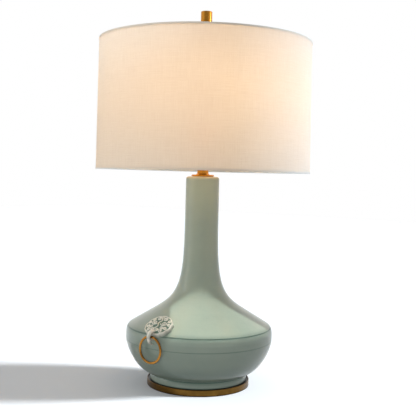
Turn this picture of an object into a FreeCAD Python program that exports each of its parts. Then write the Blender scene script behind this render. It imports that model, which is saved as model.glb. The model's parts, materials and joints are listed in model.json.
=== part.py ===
"""Table lamp: glazed bottle vase on a brass ring foot, drum shade on a harp.

Millimetres, +Z up, origin on the floor under the lamp's axis. The two ring handles lie on -X and +X,
and the cord inlet is at the back, on +Y.
"""
import FreeCAD, Part
import math
import os
import Sketcher
from FreeCAD import Placement, Rotation, Vector

DRIVING_SIZES = {
    # base
    "felt_thick": 1.2, "plate_thick": 1.2, "web_thick": 1.4, "gasket_thick": 0.8, "gasket_wide": 10.0,
    "ring_gap": 4.0, "ring_lip": 2.0, "ring_wall": 1.6, "felt_inset": 2.4, "felt_proud": 0.5,
    "gland_bore_r": 2.2, "gland_wall": 0.75, "gland_lip": 1.2, "gland_lip_thick": 1.4, "web_slack": 0.4,
    # vase
    "vase_high": 387.2, "vase_wall": 6.0, "foot_r": 92.0, "foot_rim": 14.0, "floor_high": 12.0,
    "pinch_in": 1.2, "pinch_high": 13.7, "belly_r": 139.6, "belly_high": 79.2, "band_high": 10.0,
    "break_in": 8.1, "break_rise": 17.3, "cone_run": 38.5, "cone_rise": 23.3, "neck_foot_r": 32.2,
    "neck_foot_high": 299.2, "neck_r": 31.8, "lip_round": 6.0, "line_deep": 0.9, "line_drop": 1.0,
    "vase_hole_r": 7.0, "foot_swell": 1.2, "bowl_drop": 10.8, "bowl_lift": 7.1, "bowl_floor_lift": 6.5,
    "neck_flare": 3.6, "neck_swell": 0.4, "bore_flare": 2.0,
    # handles
    "hoop_r": 23.4, "hoop_wire_r": 2.1, "hoop_reach": 6.4, "hoop_rise": 12.4, "loop_wire_r": 2.4,
    "loop_gap": 0.8, "tongue_r": 1.9, "tongue_drop": 8.0, "mask_relief": 6.5, "mask_half_wide": 26.5,
    "mask_half_long": 23.0, "mask_lobes": 13,
    # spine
    "pipe_r": 4.8, "pipe_bore_r": 3.3, "pipe_tail": 0.6, "nut_across": 17.0, "nut_high": 3.4,
    "washer_r": 16.0, "washer_thick": 1.2, "seat_thick": 0.6, "seat_in": 2.0, "check_r": 21.6,
    "check_high": 5.6, "check_edge": 2.0, "check_collar": 1.0, "tube_r": 10.8, "tube_wall": 1.0,
    "tube_high": 26.0, "slip": 0.3, "thread_gap": 0.05,
    # harp
    "saddle_half": 24.5, "saddle_wide": 14.0, "saddle_thick": 1.6, "saddle_rise": 12.0, "post_high": 14.0,
    "harp_wire_r": 1.6, "harp_high": 210.5, "harp_half": 58.0, "harp_leg": 38.0, "harp_waist": 88.0,
    "harp_straight": 42.0, "harp_crown": 20.0, "ferrule_wall": 1.2, "ferrule_high": 22.0, "running": 0.08,
    "stud_r": 3.0, "stud_high": 13.0, "stud_plate_r": 9.0, "stud_plate_thick": 1.2,
    # socket
    "cap_high": 20.0, "collar_high": 7.0, "collar_wall": 2.0, "cap_round": 1.5, "socket_r": 19.4,
    "shell_wall": 0.7, "shell_high": 46.0,
    "liner_wall": 0.6, "body_high": 17.0, "screw_shell_wall": 0.6, "screw_shell_high": 24.0,
    "contact_r": 4.0, "contact_thick": 1.0, "terminal_r": 2.6, "terminal_long": 2.2, "terminal_out": 9.0,
    "shaft_r": 1.5, "knob_r": 4.6, "knob_long": 14.0, "knob_gap": 3.0, "knob_round": 1.0,
    # bulb
    "base_r": 13.2, "base_wall": 0.6, "base_high": 22.0, "tip_r": 4.2, "tip_high": 2.2,
    "insulator_high": 4.0, "globe_r": 30.0, "globe_high": 84.0, "globe_wall": 0.8, "stem_r": 4.0,
    "stem_high": 22.0, "stem_disc_r": 9.0, "filament_r": 0.9, "filament_long": 34.0,
    "insulator_foot": 1.4, "globe_flare": 1.5,
    # shade
    "shade_r": 203.2, "shade_taper": 2.3, "shade_high": 243.1, "fabric_wall": 0.9, "lining_wall": 0.5,
    "rim_wire_r": 1.8, "rim_slack": 0.02, "trim_high": 3.0, "trim_wall": 0.4, "hub_drop": 8.0, "hub_r": 12.0,
    "hub_thick": 2.5, "arm_r": 1.5, "arm_bend": 14.0, "arm_sunk": 1.0, "arm_count": 3,
    # finial
    "finial_r": 10.8, "finial_high": 52.2, "finial_round": 1.2, "finial_seat_r": 7.0,
    "finial_waist_r": 5.2, "finial_seat_high": 13.0,
}

# shares of a length that place the poles of the vase's curves
BOWL_SHARE = 0.68
BREAK_LOW_SHARE = 0.6
BREAK_TOP_IN = 0.62
BREAK_TOP_DROP = 0.17
SWEEP_SHARE = 0.93
# shares of the wall that its offset takes sideways and upwards on the sloping shoulder
SLOPE_OUT = 0.52
SLOPE_UP = 0.86
# pole distance of a quarter circle, as a share of its radius
QUARTER = 0.552
# angles to each side of a handle within which its mask, and the vase behind it, are worked out
MASK_SECTOR = 16
CORE_SECTOR = 24
FIRST_ARM_ANGLE = 30

doc = FreeCAD.newDocument("lamp")
sheet = doc.addObject("Spreadsheet::Sheet", "Sizes")
PIECES = []


class Dim:
    """A length that knows both its value and the sheet expression that gives it."""

    def __init__(self, value, text):
        self.value = float(value)
        self.text = text

    def joined(self, sign, other, value):
        return Dim(value, f"({self.text} {sign} {dim(other).text})")

    def __add__(self, other):
        return self.joined("+", other, self.value + dim(other).value)

    def __sub__(self, other):
        return self.joined("-", other, self.value - dim(other).value)

    def __mul__(self, other):
        return self.joined("*", other, self.value * dim(other).value)

    def __truediv__(self, other):
        return self.joined("/", other, self.value / dim(other).value)


def larger(one, other):
    """The larger of two lengths."""
    return Dim(max(one.value, other.value), f"max({one.text}; {other.text})")


def dim(number):
    """The number as a Dim; a Dim stays as it is."""
    return number if isinstance(number, Dim) else Dim(number, f"{number}")


class Sizes:
    """Every driving size by its own name."""


def fill_sheet():
    for row, (alias, value) in enumerate(DRIVING_SIZES.items(), 1):
        sheet.set(f"A{row}", alias)
        sheet.set(f"B{row}", str(value))
        sheet.setAlias(f"B{row}", alias)
        setattr(Sizes, alias, Dim(value, f"Sizes.{alias}"))
    doc.recompute()


def kept(piece, label):
    """Names the object and lists it as a piece to be written."""
    piece.Label = label
    PIECES.append(piece)
    return piece


def tied(thing, **sizes):
    """Binds properties of an object to sheet expressions."""
    for prop, size in sizes.items():
        thing.setExpression(prop, dim(size).text)
    return thing


def placed(thing, x=0, y=0, z=0, turn=Rotation()):
    """Puts an object somewhere, with each coordinate bound to the sheet."""
    thing.Placement = Placement(Vector(dim(x).value, dim(y).value, dim(z).value), turn)
    for axis, size in (("x", x), ("y", y), ("z", z)):
        thing.setExpression(f"Placement.Base.{axis}", dim(size).text)
    return thing


def new_sketch(body, role, name="outline"):
    sketch = body.newObject("Sketcher::SketchObject", name)
    plane = next(part for part in body.Origin.OriginFeatures if part.Role == role)
    sketch.AttachmentSupport = (plane, [""])
    sketch.MapMode = "FlatFace"
    return sketch


def pin_point(sketch, geo, corner, point):
    """Holds one sketch point at its two sheet-driven coordinates."""
    rules = (("DistanceX", -2, point[0]), ("DistanceY", -1, point[1]))
    for kind, axis, size in rules:
        if dim(size).value == 0:
            sketch.addConstraint(Sketcher.Constraint("PointOnObject", geo, corner, axis))
            continue
        index = sketch.addConstraint(
            Sketcher.Constraint(kind, -1, 1, geo, corner, dim(size).value))
        sketch.setExpression(f"Constraints[{index}]", dim(size).text)


def draw_run(sketch, points):
    """A line through two points, or one smooth curve with the points as its poles."""
    poles = [Vector(dim(p[0]).value, dim(p[1]).value, 0) for p in points]
    if len(points) == 2:
        geo = sketch.addGeometry(Part.LineSegment(*poles))
        pin_point(sketch, geo, 1, points[0])
        return geo
    curve = Part.BSplineCurve()
    curve.buildFromPolesMultsKnots(poles, [len(poles)] * 2, [0, 1], False, len(poles) - 1)
    geo = sketch.addGeometry(curve)
    sketch.exposeInternalGeometry(geo)
    for offset, point in enumerate(points, 1):
        if offset < len(points):
            pin_point(sketch, geo + offset, 3, point)
    return geo


def draw_loop(sketch, runs):
    """A closed outline of runs; each run starts where the one before it ends."""
    geos = [draw_run(sketch, run + [after[0]]) for run, after in zip(runs, runs[1:] + runs[:1])]
    for geo, after in zip(geos, geos[1:] + geos[:1]):
        sketch.addConstraint(Sketcher.Constraint("Coincident", geo, 2, after, 1))


def turned(label, runs):
    """A body turned about Z from an outline of (radius, height) runs."""
    body = kept(doc.addObject("PartDesign::Body", label), label)
    sketch = new_sketch(body, "XZ_Plane")
    draw_loop(sketch, runs)
    doc.recompute()
    spin = body.newObject("PartDesign::Revolution", "spin")
    spin.Profile = sketch
    spin.ReferenceAxis = (sketch, ["V_Axis"])
    spin.Angle = 360
    return body


def corners(*points):
    """Runs of straight lines from corner to corner."""
    return [[point] for point in points]


def ring_piece(label, inner, outer, low, high):
    """A plain turned ring or, with no inner radius, a disc."""
    return turned(label, corners((inner, low), (outer, low), (outer, high), (inner, high)))


def turned_groove(body, radius, level, deep):
    """A shallow round-bottomed line turned into the wall of a body."""
    sketch = new_sketch(body, "XZ_Plane", "line")
    geo = sketch.addGeometry(Part.Circle(Vector(radius.value, level.value, 0), Vector(0, 0, 1), deep.value))
    pin_point(sketch, geo, 3, (radius, level))
    index = sketch.addConstraint(Sketcher.Constraint("Radius", geo, deep.value))
    sketch.setExpression(f"Constraints[{index}]", deep.text)
    doc.recompute()
    before = body.Shape.Volume
    cut = body.newObject("PartDesign::Groove", "line_cut")
    cut.Profile = sketch
    cut.ReferenceAxis = (sketch, ["V_Axis"])
    cut.Angle = 360
    doc.recompute()
    if body.Shape.Volume >= before:
        raise RuntimeError(f"{body.Label}: the turned line cut nothing")


def side_hole(body, radius, level, towards_back):
    """A round hole through the wall, along +Y or -Y, at a height on the axis plane."""
    sketch = new_sketch(body, "XZ_Plane", "hole")
    geo = sketch.addGeometry(Part.Circle(Vector(0, level.value, 0), Vector(0, 0, 1), radius.value))
    pin_point(sketch, geo, 3, (0, level))
    index = sketch.addConstraint(Sketcher.Constraint("Radius", geo, radius.value))
    sketch.setExpression(f"Constraints[{index}]", radius.text)
    doc.recompute()
    before = body.Shape.Volume
    cut = body.newObject("PartDesign::Pocket", "hole_cut")
    cut.Profile = sketch
    cut.Type = "ThroughAll"
    cut.Reversed = not towards_back
    doc.recompute()
    if body.Shape.Volume >= before:
        raise RuntimeError(f"{body.Label}: the side hole cut nothing")


def cylinder(radius, high, x=0, y=0, z=0, turn=Rotation()):
    rod = doc.addObject("Part::Cylinder", "rod")
    return placed(tied(rod, Radius=radius, Height=high), x, y, z, turn)


def block(long, wide, high, x=0, y=0, z=0):
    """A box centred on x and y, standing on z."""
    box = tied(doc.addObject("Part::Box", "block"), Length=long, Width=wide, Height=high)
    return placed(box, dim(x) - dim(long) / 2, dim(y) - dim(wide) / 2, z)


def cut_from(base, tool, name="cut"):
    cut = doc.addObject("Part::Cut", name)
    cut.Base = base
    cut.Tool = tool
    return cut


def fused(pieces, name="joined"):
    join = doc.addObject("Part::MultiFuse", name)
    join.Shapes = pieces
    return join


def gathered(label, pieces):
    """Separate solids that share one node."""
    group = doc.addObject("Part::Compound", label)
    group.Links = pieces
    return kept(group, label)


def rounded_path(points, bends):
    """A wire of straight runs joined by tangent arcs, one bend radius for each inner point."""
    edges = []
    start = points[0]
    for before, corner, after, bend in zip(points, points[1:], points[2:], bends):
        back = (before - corner).normalize()
        on = (after - corner).normalize()
        half = back.getAngle(on) / 2
        reach = bend / math.tan(half)
        middle = (back + on).normalize()
        top = corner + middle * (bend / math.sin(half) - bend)
        edges.append(Part.LineSegment(start, corner + back * reach).toShape())
        edges.append(Part.Arc(corner + back * reach, top, corner + on * reach).toShape())
        start = corner + on * reach
    edges.append(Part.LineSegment(start, points[-1]).toShape())
    return Part.Wire(edges)


def rod_along(points, bends, radius):
    """A round rod bent along a path."""
    path = rounded_path(points, bends)
    heading = points[1] - points[0]
    section = Part.Wire([Part.Circle(points[0], heading, radius).toShape()])
    return path.makePipeShell([section], True, False)


# ---------------------------------------------------------------- levels, from the floor up
fill_sheet()
S = Sizes
gland_r = S.gland_bore_r + S.gland_wall
cord_level = S.felt_thick + S.plate_thick
nut_stack = S.nut_high + S.washer_thick + S.pipe_tail * 2
web_level = cord_level + larger(gland_r * 2 + S.slip, nut_stack + S.web_slack)
web_top = web_level + S.web_thick
ring_top = web_top + S.ring_lip
pinch_r = S.foot_r - S.pinch_in
ring_inside = S.foot_r + S.ring_gap
ring_r = ring_inside + S.ring_wall
vase_level = web_top + S.gasket_thick
pinch_level = vase_level + S.pinch_high
floor_level = vase_level + S.floor_high
belly_level = vase_level + S.belly_high
band_top = belly_level + S.band_high
cone_r = S.belly_r - S.break_in
cone_level = band_top + S.break_rise
break_r = cone_r + S.break_in * BREAK_TOP_IN
break_level = cone_level - S.break_rise * BREAK_TOP_DROP
break_low = band_top + S.break_rise * BREAK_LOW_SHARE
sweep_r = cone_r - S.cone_run
sweep_level = cone_level + S.cone_rise
neck_level = vase_level + S.neck_foot_high
vase_top = vase_level + S.vase_high
hoop_x = S.belly_r + S.hoop_reach
hoop_level = band_top + S.hoop_rise
check_level = vase_top + S.seat_thick
tube_level = check_level + S.check_high
saddle_level = tube_level + S.tube_high
locknut_level = saddle_level + S.saddle_thick
cap_level = locknut_level + S.nut_high
shell_level = cap_level + S.cap_high
switch_level = shell_level + S.body_high / 2
contact_level = shell_level + S.body_high
bulb_level = contact_level + S.contact_thick + S.slip
base_level = bulb_level + S.tip_high + S.insulator_high
base_top = base_level + S.base_high
post_level = saddle_level + S.saddle_rise
post_top = post_level + S.post_high
harp_foot = post_top + S.slip
harp_top = saddle_level + S.harp_high
stud_level = harp_top - S.harp_wire_r
hub_level = harp_top + S.stud_plate_thick + S.slip
hub_top = hub_level + S.hub_thick
shade_top = hub_level + S.hub_thick / 2 + S.hub_drop
shade_level = shade_top - S.shade_high
finial_level = hub_top + S.slip
lining_out = S.trim_wall + S.fabric_wall
lining_in = lining_out + S.lining_wall
rim_in = lining_in + S.rim_wire_r
shade_top_r = S.shade_r - S.shade_taper


def build_base():
    """Felt, bottom plate, spun ring with its web, gasket and the cord's bushing."""
    ring_piece("felt_pad", 0, ring_r - S.felt_inset, 0, S.felt_thick)
    ring_piece("bottom_plate", 0, ring_inside, S.felt_thick, cord_level)
    half = S.ring_wall / 2
    ring = turned("base_ring", [
        [(ring_inside, S.felt_proud)], [(ring_r, S.felt_proud)],
        [(ring_r, ring_top - half), (ring_r, ring_top)],
        [(ring_r - half, ring_top), (ring_inside, ring_top)],
        [(ring_inside, ring_top - half)], [(ring_inside, web_top)], [(S.pipe_r + S.slip, web_top)],
        [(S.pipe_r + S.slip, web_level)], [(ring_inside, web_level)]])
    gland_level = (cord_level + web_level) / 2
    side_hole(ring, gland_r, gland_level, True)
    gasket_out = S.foot_r - S.gasket_thick
    ring_piece("foot_gasket", gasket_out - S.gasket_wide, gasket_out, web_top, vase_level)
    lip_end = S.ring_wall + S.gland_lip_thick
    gland = turned("cord_bushing", corners(
        (S.gland_bore_r, 0), (gland_r, 0), (gland_r, S.ring_wall), (gland_r + S.gland_lip, S.ring_wall),
        (gland_r + S.gland_lip, lip_end), (S.gland_bore_r, lip_end)))
    placed(gland, 0, ring_inside, gland_level, Rotation(Vector(1, 0, 0), -90))


def build_vase():
    """Thrown vase: foot, bowl, upright band, sloping shoulder and long neck, all one wall thick."""
    wall = S.vase_wall
    inset_r = wall * SLOPE_OUT
    inset_z = wall * SLOPE_UP
    neck_reach = neck_level - sweep_level
    floor_top = floor_level + wall
    bowl_r = pinch_r + (S.belly_r - pinch_r) * BOWL_SHARE
    bowl_top = belly_level - S.bowl_drop
    flare_r = sweep_r - S.cone_run * SWEEP_SHARE
    flare_level = sweep_level + S.cone_rise * SWEEP_SHARE
    swell_r = S.neck_foot_r + S.neck_swell
    lip = S.lip_round
    rim_in_r = S.foot_r - S.foot_rim
    vase = turned("vase_body", [
        [(S.foot_r, vase_level), (S.foot_r + S.foot_swell, vase_level + S.pinch_high * 0.4),
         (S.foot_r, vase_level + S.pinch_high * 0.8)],
        [(pinch_r, pinch_level), (bowl_r, pinch_level + S.bowl_lift), (S.belly_r, bowl_top)],
        [(S.belly_r, belly_level)],
        [(S.belly_r, band_top), (S.belly_r, break_low), (break_r, break_level)],
        [(cone_r, cone_level)],
        [(sweep_r, sweep_level), (flare_r, flare_level),
         (S.neck_foot_r + S.neck_flare, sweep_level + neck_reach * 0.2125),
         (swell_r, sweep_level + neck_reach * 0.463)],
        [(S.neck_foot_r, neck_level)],
        [(S.neck_r, vase_top - lip), (S.neck_r, vase_top)],
        [(S.neck_r - lip, vase_top)],
        [(S.vase_hole_r, vase_top)],
        [(S.vase_hole_r, vase_top - wall)],
        [(S.neck_r - wall, vase_top - wall)],
        [(S.neck_foot_r - wall, neck_level), (swell_r - wall, sweep_level + neck_reach * 0.44),
         (S.neck_foot_r + S.bore_flare - wall, sweep_level + neck_reach * 0.2 - inset_z),
         (flare_r - inset_r, flare_level - inset_z)],
        [(sweep_r - inset_r, sweep_level - inset_z)],
        [(cone_r - inset_r, cone_level - inset_z), (S.belly_r - wall, cone_level - wall * 1.6)],
        [(S.belly_r - wall, band_top)],
        [(S.belly_r - wall, belly_level), (S.belly_r - wall, bowl_top),
         (bowl_r - wall * 0.7, floor_top + S.bowl_floor_lift)],
        [(pinch_r - wall, floor_top)],
        [(S.vase_hole_r, floor_top)],
        [(S.vase_hole_r, floor_level)],
        [(rim_in_r, floor_level)],
        [(rim_in_r, vase_level)]])
    turned_groove(vase, S.belly_r - S.break_in * 0.36, band_top + S.break_rise * 0.75, S.line_deep)
    turned_groove(vase, S.belly_r + S.line_deep / 2, belly_level - S.line_drop, S.line_deep)


def vase_profile_edges(out):
    """Shoulder and break of the vase's wall, moved straight out from the surface by a distance."""
    slope = math.atan2(S.cone_rise.value, S.cone_run.value)
    side = out * math.sin(slope)
    up = out * math.cos(slope)
    high = Vector(sweep_r.value + side, 0, sweep_level.value + up)
    low = Vector(cone_r.value + side, 0, cone_level.value + up)
    foot = Vector(S.belly_r.value + out, 0, band_top.value)
    near_low = Vector(break_r.value + side, 0, break_level.value + up)
    near_foot = Vector(foot.x, 0, break_low.value + up / 2)
    curve = Part.BezierCurve()
    curve.setPoles([low, near_low, near_foot, foot])
    return [Part.LineSegment(high, low).toShape(), curve.toShape()], high, foot


def sector(edges, half_angle):
    """Turns a closed outline through an equal angle to each side of the XZ plane."""
    face = Part.Face(Part.Wire(Part.__sortEdges__(edges)))
    face.rotate(Vector(), Vector(0, 0, 1), -half_angle)
    return face.revolve(Vector(), Vector(0, 0, 1), half_angle * 2)


def shoulder_skin(relief, half_angle):
    """A skin of even thickness lying on the vase's shoulder."""
    inner, high, foot = vase_profile_edges(0)
    outer, high_out, foot_out = vase_profile_edges(relief)
    ends = [Part.LineSegment(high, high_out).toShape(), Part.LineSegment(foot, foot_out).toShape()]
    return sector(inner + outer + ends, half_angle)


def shoulder_core(half_angle):
    """What lies inside the vase's outer surface, near a handle."""
    edges, high, foot = vase_profile_edges(0)
    deep = Vector(sweep_r.value, 0, foot.z - S.belly_high.value / 4)
    below = Vector(foot.x, 0, deep.z)
    ends = [Part.LineSegment(foot, below).toShape(), Part.LineSegment(below, deep).toShape(),
            Part.LineSegment(deep, high).toShape()]
    return sector(edges + ends, half_angle)


def lobed_prism():
    """An upright prism whose outline is a ring of rounded lobes, laid square to the shoulder."""
    count = int(S.mask_lobes.value)
    lobe_share = 0.3
    points = []
    for index in range(count):
        angle = 2 * math.pi * (index + 0.5) / count
        points.append(Vector(math.cos(angle) * S.mask_half_long.value,
                             math.sin(angle) * S.mask_half_wide.value, 0))
    edges = []
    for here, there in zip(points, points[1:] + points[:1]):
        middle = (here + there) / 2
        bulge = Vector(middle).normalize() * (here - there).Length * lobe_share
        edges.append(Part.Arc(here, middle + bulge, there).toShape())
    reach = S.mask_relief.value * 3
    prism = Part.Face(Part.Wire(edges)).extrude(Vector(0, 0, reach * 2))
    slope = math.degrees(math.atan2(S.cone_rise.value, S.cone_run.value))
    prism.Placement = Placement(Vector(), Rotation(Vector(0, 1, 0), slope)).multiply(
        Placement(Vector(0, 0, -reach), Rotation()))
    centre_r = (cone_r.value + sweep_r.value + S.break_in.value) / 2
    centre_z = cone_level.value + (cone_r.value - centre_r) * math.tan(math.radians(slope))
    prism.translate(Vector(centre_r, 0, centre_z))
    return prism


def hoop_loop():
    """The loop that the hoop hangs in, round the hoop's wire, and the tongue that curls in below it."""
    turn_r = S.hoop_wire_r.value + S.loop_gap.value + S.loop_wire_r.value
    back = hoop_x.value - S.break_in.value * 3
    front = hoop_x.value + turn_r
    top = hoop_level.value + turn_r
    low = hoop_level.value - turn_r
    bend = turn_r * 0.95
    route = [Vector(back, 0, top), Vector(front, 0, top), Vector(front, 0, low), Vector(back, 0, low)]
    loop = rod_along(route, [bend, bend], S.loop_wire_r.value)
    drop = S.tongue_drop.value
    tongue = rod_along([Vector(front, 0, hoop_level.value), Vector(front, 0, low - drop / 3),
                        Vector(S.belly_r.value - S.tongue_r.value, 0, low - drop)],
                       [bend], S.tongue_r.value)
    return loop.fuse(tongue)


def build_handles():
    """A lobed mask with its loop, and the hoop that swings in it, on each side."""
    plaque = shoulder_skin(S.mask_relief.value, MASK_SECTOR).common(lobed_prism())
    shape = plaque.fuse(hoop_loop()).cut(shoulder_core(CORE_SECTOR)).removeSplitter()
    solid = max(shape.Solids, key=lambda one: one.Volume)
    for side, turn, x in (("left", 180, dim(0) - hoop_x), ("right", 0, hoop_x)):
        mask = kept(doc.addObject("Part::Feature", f"mask_{side}"), f"mask_{side}")
        mask.Shape = solid
        mask.Placement = Placement(Vector(), Rotation(Vector(0, 0, 1), turn))
        hoop = kept(doc.addObject("Part::Torus", f"hoop_{side}"), f"ring_{side}")
        tied(hoop, Radius1=S.hoop_r, Radius2=S.hoop_wire_r)
        placed(hoop, x, 0, hoop_level - S.hoop_r, Rotation(Vector(0, 1, 0), 90))


def hex_nut(label, level):
    nut = tied(doc.addObject("Part::Prism", "hexagon"), Circumradius=S.nut_across / math.sqrt(3),
               Height=S.nut_high)
    nut.Polygon = 6
    placed(nut, 0, 0, level)
    bore = cylinder(S.pipe_r + S.thread_gap, S.nut_high, 0, 0, level)
    return kept(cut_from(nut, bore, label), label)


def build_spine():
    """The threaded pipe and all that it clamps between the base and the socket."""
    washer_level = web_level - S.washer_thick
    hex_nut("pipe_nut", washer_level - S.nut_high)
    ring_piece("pipe_washer", S.pipe_r + S.slip, S.washer_r, washer_level, web_level)
    ring_piece("lamp_pipe", S.pipe_bore_r, S.pipe_r, washer_level - S.nut_high - S.pipe_tail,
               cap_level + S.collar_high)
    ring_piece("neck_seat", S.pipe_r + S.slip, S.check_r - S.seat_in, vase_top, check_level)
    step_level = check_level + S.check_high * 0.55
    edge_level = (check_level + step_level) / 2
    collar_r = S.tube_r + S.check_collar
    turned("check_ring", [
        [(S.pipe_r + S.slip, check_level)], [(S.check_r, check_level)],
        [(S.check_r, edge_level), (S.check_r, step_level)],
        [(S.check_r - S.check_edge, step_level)],
        [(collar_r + S.check_edge, step_level), (collar_r, step_level), (collar_r, tube_level)],
        [(S.tube_r, tube_level)], [(S.pipe_r + S.slip, tube_level)]])
    ring_piece("neck_tube", S.tube_r - S.tube_wall, S.tube_r, tube_level, saddle_level)
    hex_nut("top_locknut", locknut_level)


def build_saddle():
    """Flat strip bent up at both ends, each end carrying a post for one leg of the harp."""
    strips = [block(S.saddle_half * 2 + S.saddle_thick, S.saddle_wide, S.saddle_thick, 0, 0, saddle_level)]
    for x in (S.saddle_half, dim(0) - S.saddle_half):
        strips.append(block(S.saddle_thick, S.saddle_wide, S.saddle_rise, x, 0, saddle_level))
        strips.append(cylinder(S.harp_wire_r, post_top - saddle_level, x, 0, saddle_level))
    hole = cylinder(S.pipe_r + S.slip, S.saddle_thick, 0, 0, saddle_level)
    kept(cut_from(fused(strips), hole, "saddle"), "harp_saddle")


def build_socket():
    """Cap, shell, liner, moulded body with its contacts, and the switch."""
    wall = S.shell_wall
    waist = cap_level + S.cap_high * 0.6
    mouth = S.tube_r - S.tube_wall
    bore = S.pipe_r + S.thread_gap
    round_r = S.socket_r * 0.95
    round_level = cap_level + S.cap_round
    cap_floor = cap_level + wall * 2
    collar_r = S.pipe_r + S.collar_wall
    collar_top = cap_level + S.collar_high
    turned("socket_cap", [
        [(bore, cap_level)],
        [(mouth, cap_level), (round_r, round_level)],
        [(S.socket_r, waist)],
        [(S.socket_r, shell_level)], [(S.socket_r - wall, shell_level)],
        [(S.socket_r - wall, waist), (round_r - wall, round_level + wall)],
        [(mouth, cap_floor)],
        [(collar_r, cap_floor)],
        [(collar_r, collar_top)],
        [(bore, collar_top)]])
    shell = ring_piece("socket_shell", S.socket_r - wall, S.socket_r, shell_level,
                       shell_level + S.shell_high)
    body_r = S.socket_r - wall - S.liner_wall
    liner = ring_piece("socket_liner", body_r, S.socket_r - wall, shell_level,
                       shell_level + S.shell_high - S.liner_wall)
    body = ring_piece("socket_body", 0, body_r, shell_level, contact_level)
    side_hole(shell, S.shaft_r + S.slip, switch_level, False)
    side_hole(liner, S.shaft_r + S.slip, switch_level, False)
    side_hole(body, S.shaft_r + S.running, switch_level, False)
    thread_in = S.base_r + S.running
    ring_piece("screw_shell", thread_in, thread_in + S.screw_shell_wall, contact_level,
               contact_level + S.screw_shell_high)
    ring_piece("centre_contact", 0, S.contact_r, contact_level, contact_level + S.contact_thick)
    heads = [cylinder(S.terminal_r, S.terminal_long, x, 0, shell_level - S.terminal_long)
             for x in (S.terminal_out, dim(0) - S.terminal_out)]
    gathered("terminal_screws", heads)
    knob_start = S.socket_r + S.knob_gap
    forward = Rotation(Vector(1, 0, 0), 90)
    kept(cylinder(S.shaft_r, knob_start - S.shell_wall, 0, dim(0) - S.shell_wall, switch_level, forward),
         "switch_shaft")
    neck_r = S.knob_r * 0.7
    end_r = S.knob_r * 0.85
    knob = turned("switch_knob", [
        [(0, 0)], [(neck_r, 0)],
        [(neck_r, S.knob_gap), (S.knob_r, S.knob_gap)],
        [(S.knob_r, S.knob_gap * 1.6)],
        [(end_r, S.knob_long - S.knob_round), (end_r, S.knob_long)],
        [(S.knob_r / 2, S.knob_long)], [(0, S.knob_long)]])
    placed(knob, 0, dim(0) - knob_start, switch_level, forward)


def build_bulb():
    """Glass bulb on a screw base, with four filaments standing on its stem."""
    kept(cylinder(S.tip_r, S.tip_high, 0, 0, bulb_level), "bulb_contact")
    cone_foot = bulb_level + S.tip_high
    base_in = S.base_r - S.base_wall
    turned("bulb_insulator", corners((0, cone_foot), (S.tip_r + S.insulator_foot, cone_foot),
                                     (base_in, base_level), (0, base_level)))
    ring_piece("bulb_base", base_in, S.base_r, base_level, base_top)
    neck_low = base_top - S.base_high * 0.4
    glass = S.globe_wall
    round_r = S.globe_r
    centre = base_top + S.globe_high - round_r
    inner_r = round_r - glass
    flare_r = base_in + S.globe_flare
    flare_level = base_top + S.globe_high * 0.22
    side_level = base_top + S.globe_high * 0.286
    turned("bulb_globe", [
        [(base_in, neck_low)],
        [(base_in, base_top), (flare_r, flare_level), (round_r, side_level)],
        [(round_r, centre), (round_r, centre + round_r * QUARTER), (round_r * QUARTER, centre + round_r)],
        [(0, centre + round_r)],
        [(0, centre + inner_r), (inner_r * QUARTER, centre + inner_r),
         (inner_r, centre + inner_r * QUARTER)],
        [(inner_r, centre), (inner_r, side_level), (flare_r - glass, flare_level)],
        [(base_in - glass, base_top)],
        [(base_in - glass, neck_low)]])
    disc_level = base_top + S.stem_high
    turned("bulb_stem", corners(
        (0, neck_low), (base_in - glass, neck_low), (base_in - glass, neck_low + S.tip_high),
        (S.stem_r, neck_low + S.tip_high * 2), (S.stem_r, disc_level), (S.stem_disc_r, disc_level),
        (S.stem_disc_r, disc_level + glass), (0, disc_level + glass)))
    out = S.stem_disc_r - S.filament_r * 2
    spots = ((out, dim(0)), (dim(0), out), (dim(0) - out, dim(0)), (dim(0), dim(0) - out))
    gathered("bulb_filaments", [cylinder(S.filament_r, S.filament_long, x, y, disc_level + glass)
                                for x, y in spots])


def build_harp():
    """Wire bow, its two ferrules, and the plate and stud that carry the shade."""
    foot = harp_foot.value
    half = [Vector(S.saddle_half.value, 0, foot),
            Vector(S.saddle_half.value, 0, foot + S.harp_leg.value),
            Vector(S.harp_half.value, 0, foot + S.harp_waist.value),
            Vector(S.harp_half.value, 0, foot + S.harp_waist.value + S.harp_straight.value),
            Vector(S.harp_crown.value, 0, stud_level.value)]
    waist_bend = S.harp_half.value
    bends = [S.saddle_half.value * 1.6, waist_bend, waist_bend * 1.1, S.harp_crown.value * 0.9]
    points = half + [Vector(-point.x, 0, point.z) for point in reversed(half)]
    wire = kept(doc.addObject("Part::Feature", "harp_wire"), "harp_wire")
    wire.Shape = rod_along(points, bends + bends[::-1], S.harp_wire_r.value)
    for side, x in (("left", dim(0) - S.saddle_half), ("right", S.saddle_half)):
        inner = S.harp_wire_r + S.running
        sleeve = ring_piece(f"ferrule_{side}", inner, inner + S.ferrule_wall, 0, S.ferrule_high)
        placed(sleeve, x, 0, post_level + S.slip)
    plate = cylinder(S.stud_plate_r, hub_level - S.slip - stud_level, 0, 0, stud_level)
    stud = cylinder(S.stud_r, S.stud_high + S.harp_wire_r, 0, 0, stud_level)
    kept(cut_from(fused([plate, stud]), wire, "stud_cut"), "harp_stud")


def shade_wall(label, inset, thick, low, high):
    """A band of the tapered drum: inset from its outside, between two heights of the shade."""
    slope = S.shade_taper / S.shade_high
    low_r = S.shade_r - slope * low - inset
    high_r = S.shade_r - slope * high - inset
    return turned(label, corners((low_r - thick, shade_level + low), (low_r, shade_level + low),
                                 (high_r, shade_level + high), (high_r - thick, shade_level + high)))


def rim_ring(label, radius, level):
    ring = tied(doc.addObject("Part::Torus", label), Radius1=radius, Radius2=S.rim_wire_r)
    return kept(placed(ring, 0, 0, level), label)


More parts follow.
